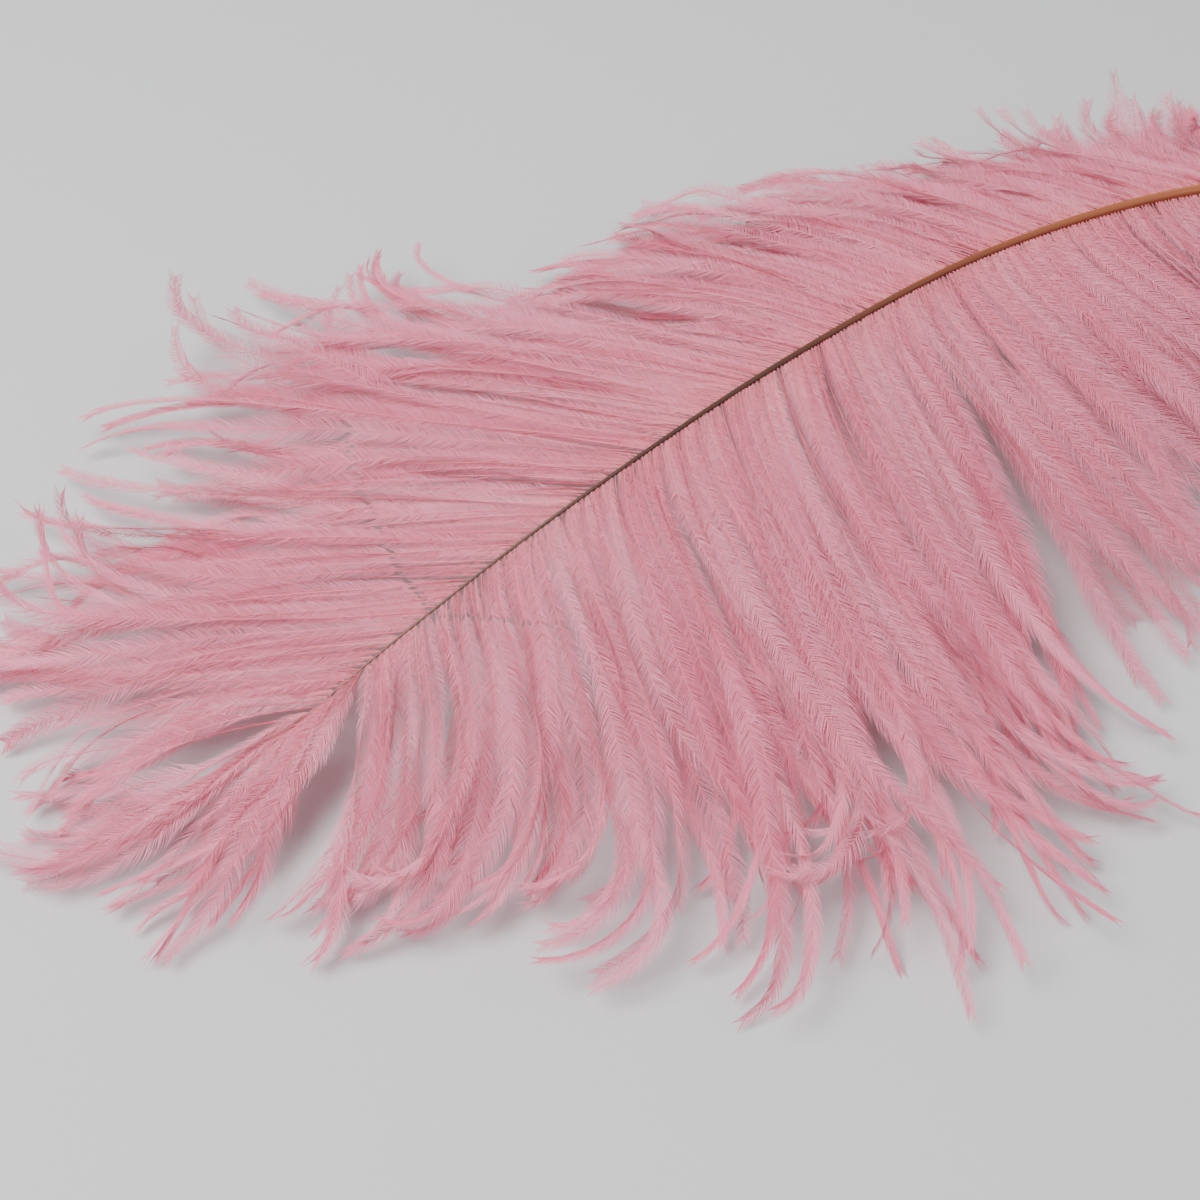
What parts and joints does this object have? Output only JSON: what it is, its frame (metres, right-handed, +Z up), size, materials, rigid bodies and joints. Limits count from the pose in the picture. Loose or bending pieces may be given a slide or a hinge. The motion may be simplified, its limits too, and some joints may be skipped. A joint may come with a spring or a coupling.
{
  "type": "ostrich feather",
  "caption": "Long curved ostrich plume dyed pink, lying on a surface: a slender tapering shaft with two wide, soft, drooping vanes of separate barbs that gather into pointed locks.",
  "frame": {"origin": "on the surface that the feather lies on, under the middle of the box round it", "axes": "+X runs along the feather from the tip to the quill, +Z is up from the surface it lies on, and +Y points from the near vane to the far vane"},
  "size_m": [0.523, 0.2934, 0.045],
  "materials": {
    "shaft": "dyed keratin, orange-brown at the quill to olive-brown near the tip, satin",
    "barbs": "soft dyed pink down, matte with a faint silky sheen"
  },
  "bodies": {
    "root": {"shaft": "shaft", "near_vane": "barbs", "far_vane": "barbs"}
  },
  "joints": []
}
